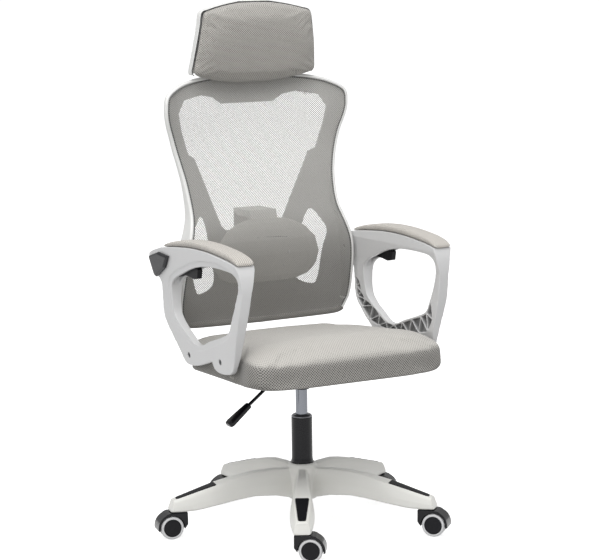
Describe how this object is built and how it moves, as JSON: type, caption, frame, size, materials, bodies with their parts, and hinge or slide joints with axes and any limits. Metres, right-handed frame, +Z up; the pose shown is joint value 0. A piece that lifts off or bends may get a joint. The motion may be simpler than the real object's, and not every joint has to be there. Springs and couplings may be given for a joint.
{
  "type": "reclining office chair",
  "caption": "Swivel chair with mesh back, sliding headrest and lumbar pad, loop arms with recline triggers, gas lift and a star base on casters.",
  "frame": {"origin": "centre of the chair's box in plan, on the floor", "axes": "+Z up; the sitter faces -Y, and +X is at the sitter's left"},
  "size_m": [0.6798, 0.6415, 1.2205],
  "materials": {
    "white_plastic": "satin moulded",
    "grey_fabric": "spacer mesh fabric",
    "grey_mesh": "open stretched mesh",
    "grey_plastic": "satin",
    "dark_plastic": "satin",
    "black_plastic": "fine textured",
    "black_gloss": "gloss",
    "black_metal": "satin powder coat",
    "grey_tyre": "matt",
    "grey_metal": "satin",
    "steel": "satin",
    "chrome": "polished"
  },
  "bodies": {
    "base": {"star_base": "white_plastic", "column_tube": "black_metal", "column_collar": "grey_metal", "foot_pad_1": "black_plastic", "foot_pad_2": "black_plastic", "foot_pad_3": "black_plastic", "foot_pad_4": "black_plastic", "foot_pad_5": "black_plastic"},
    "lift": {"gas_piston": "chrome"},
    "seat": {"lift_mechanism": "black_metal", "seat_pan": "black_plastic", "seat_cushion": "grey_fabric", "arm_left": "white_plastic", "arm_pad_left": "grey_fabric", "pivot_cover_left": "dark_plastic", "arm_bolt_front_left": "steel", "arm_bolt_rear_left": "steel", "recline_bolt_left": "steel", "arm_right": "white_plastic", "arm_pad_right": "grey_fabric", "pivot_cover_right": "dark_plastic", "arm_bolt_front_right": "steel", "arm_bolt_rear_right": "steel", "recline_bolt_right": "steel"},
    "lift_lever": {"lever_rod": "black_metal", "lever_handle": "black_gloss"},
    "backrest": {"back_frame": "white_plastic", "back_mesh": "grey_mesh"},
    "lumbar": {"lumbar_pad": "grey_plastic", "lumbar_bracket": "grey_plastic"},
    "headrest_carrier": {"headrest_post": "white_plastic"},
    "headrest": {"headrest_shell": "white_plastic", "headrest_cushion": "grey_fabric"},
    "trigger_body_left": {"trigger_left": "black_plastic"},
    "trigger_body_right": {"trigger_right": "black_plastic"},
    "caster_1": {"caster_1_stem": "steel", "caster_1_hood": "black_gloss", "caster_1_axle": "steel"},
    "caster_1_wheel_a_body": {"caster_1_wheel_a": "grey_tyre"},
    "caster_1_wheel_b_body": {"caster_1_wheel_b": "grey_tyre"},
    "caster_2": {"caster_2_stem": "steel", "caster_2_hood": "black_gloss", "caster_2_axle": "steel"},
    "caster_2_wheel_a_body": {"caster_2_wheel_a": "grey_tyre"},
    "caster_2_wheel_b_body": {"caster_2_wheel_b": "grey_tyre"},
    "caster_3": {"caster_3_stem": "steel", "caster_3_hood": "black_gloss", "caster_3_axle": "steel"},
    "caster_3_wheel_a_body": {"caster_3_wheel_a": "grey_tyre"},
    "caster_3_wheel_b_body": {"caster_3_wheel_b": "grey_tyre"},
    "caster_4": {"caster_4_stem": "steel", "caster_4_hood": "black_gloss", "caster_4_axle": "steel"},
    "caster_4_wheel_a_body": {"caster_4_wheel_a": "grey_tyre"},
    "caster_4_wheel_b_body": {"caster_4_wheel_b": "grey_tyre"},
    "caster_5": {"caster_5_stem": "steel", "caster_5_hood": "black_gloss", "caster_5_axle": "steel"},
    "caster_5_wheel_a_body": {"caster_5_wheel_a": "grey_tyre"},
    "caster_5_wheel_b_body": {"caster_5_wheel_b": "grey_tyre"}
  },
  "joints": [
    {"name": "seat_height", "type": "slide", "parent": "base", "child": "lift", "axis": [0, 0, 1], "range_m": [-0.055, 0.045]},
    {"name": "seat_swivel", "type": "hinge", "parent": "lift", "child": "seat", "pos_m": [0.01, -0.0129, 0.327], "axis": [0, 0, 1], "continuous": true},
    {"name": "lift_lever", "type": "hinge", "parent": "seat", "child": "lift_lever", "pos_m": [-0.026, -0.0329, 0.362], "axis": [0, 1, 0], "range_deg": [0, 8], "stiffness_Nm_per_rad": 1.2, "springref_deg": -2.86},
    {"name": "recline", "type": "hinge", "parent": "seat", "child": "backrest", "pos_m": [0.01, 0.1521, 0.628], "axis": [-1, 0, 0], "range_deg": [0, 25]},
    {"name": "lumbar_height", "type": "slide", "parent": "backrest", "child": "lumbar", "axis": [0, 0, 1], "range_m": [-0.02, 0.02]},
    {"name": "headrest_height", "type": "slide", "parent": "backrest", "child": "headrest_carrier", "axis": [0, 0, 1], "range_m": [0, 0.045]},
    {"name": "headrest_tilt", "type": "hinge", "parent": "headrest_carrier", "child": "headrest", "pos_m": [0.01, 0.2491, 1.105], "axis": [-1, 0, 0], "range_deg": [-3, 20]},
    {"name": "trigger_left_squeeze", "type": "hinge", "parent": "seat", "child": "trigger_body_left", "pos_m": [0.26834, 0.0851, 0.608], "axis": [-1, 0, 0], "range_deg": [0, 8], "stiffness_Nm_per_rad": 0.15, "springref_deg": -2.86},
    {"name": "trigger_right_squeeze", "type": "hinge", "parent": "seat", "child": "trigger_body_right", "pos_m": [-0.24834, 0.0851, 0.608], "axis": [-1, 0, 0], "range_deg": [0, 8], "stiffness_Nm_per_rad": 0.15, "springref_deg": -2.86},
    {"name": "caster_1_swivel", "type": "hinge", "parent": "base", "child": "caster_1", "pos_m": [-0.14181, -0.27165, 0], "axis": [0, 0, 1], "continuous": true},
    {"name": "caster_1_wheel_a_roll", "type": "hinge", "parent": "caster_1", "child": "caster_1_wheel_a_body", "pos_m": [-0.12563, -0.28341, 0.027], "axis": [0.5878, 0.809, 0], "continuous": true},
    {"name": "caster_1_wheel_b_roll", "type": "hinge", "parent": "caster_1", "child": "caster_1_wheel_b_body", "pos_m": [-0.12563, -0.28341, 0.027], "axis": [0.5878, 0.809, 0], "continuous": true},
    {"name": "caster_2_swivel", "type": "hinge", "parent": "base", "child": "caster_2", "pos_m": [0.20918, -0.23724, 0], "axis": [0, 0, 1], "continuous": true},
    {"name": "caster_2_wheel_a_roll", "type": "hinge", "parent": "caster_2", "child": "caster_2_wheel_a_body", "pos_m": [0.22282, -0.25187, 0.027], "axis": [0.7314, 0.682, 0], "continuous": true},
    {"name": "caster_2_wheel_b_roll", "type": "hinge", "parent": "caster_2", "child": "caster_2_wheel_b_body", "pos_m": [0.22282, -0.25187, 0.027], "axis": [0.7314, 0.682, 0], "continuous": true},
    {"name": "caster_3_swivel", "type": "hinge", "parent": "base", "child": "caster_3", "pos_m": [0.28491, 0.1072, 0], "axis": [0, 0, 1], "continuous": true},
    {"name": "caster_3_wheel_a_roll", "type": "hinge", "parent": "caster_3", "child": "caster_3_wheel_a_body", "pos_m": [0.30023, 0.09435, 0.027], "axis": [0.6428, 0.766, 0], "continuous": true},
    {"name": "caster_3_wheel_b_roll", "type": "hinge", "parent": "caster_3", "child": "caster_3_wheel_b_body", "pos_m": [0.30023, 0.09435, 0.027], "axis": [0.6428, 0.766, 0], "continuous": true},
    {"name": "caster_4_swivel", "type": "hinge", "parent": "base", "child": "caster_4", "pos_m": [-0.01928, 0.28567, 0], "axis": [0, 0, 1], "continuous": true},
    {"name": "caster_4_wheel_a_roll", "type": "hinge", "parent": "caster_4", "child": "caster_4_wheel_a_body", "pos_m": [-0.03859, 0.29085, 0.027], "axis": [-0.2588, -0.9659, 0], "continuous": true},
    {"name": "caster_4_wheel_b_roll", "type": "hinge", "parent": "caster_4", "child": "caster_4_wheel_b_body", "pos_m": [-0.03859, 0.29085, 0.027], "axis": [-0.2588, -0.9659, 0], "continuous": true},
    {"name": "caster_5_swivel", "type": "hinge", "parent": "base", "child": "caster_5", "pos_m": [-0.283, 0.05152, 0], "axis": [0, 0, 1], "continuous": true},
    {"name": "caster_5_wheel_a_roll", "type": "hinge", "parent": "caster_5", "child": "caster_5_wheel_a_body", "pos_m": [-0.30249, 0.05602, 0.027], "axis": [-0.225, -0.9744, 0], "continuous": true},
    {"name": "caster_5_wheel_b_roll", "type": "hinge", "parent": "caster_5", "child": "caster_5_wheel_b_body", "pos_m": [-0.30249, 0.05602, 0.027], "axis": [-0.225, -0.9744, 0], "continuous": true}
  ]
}
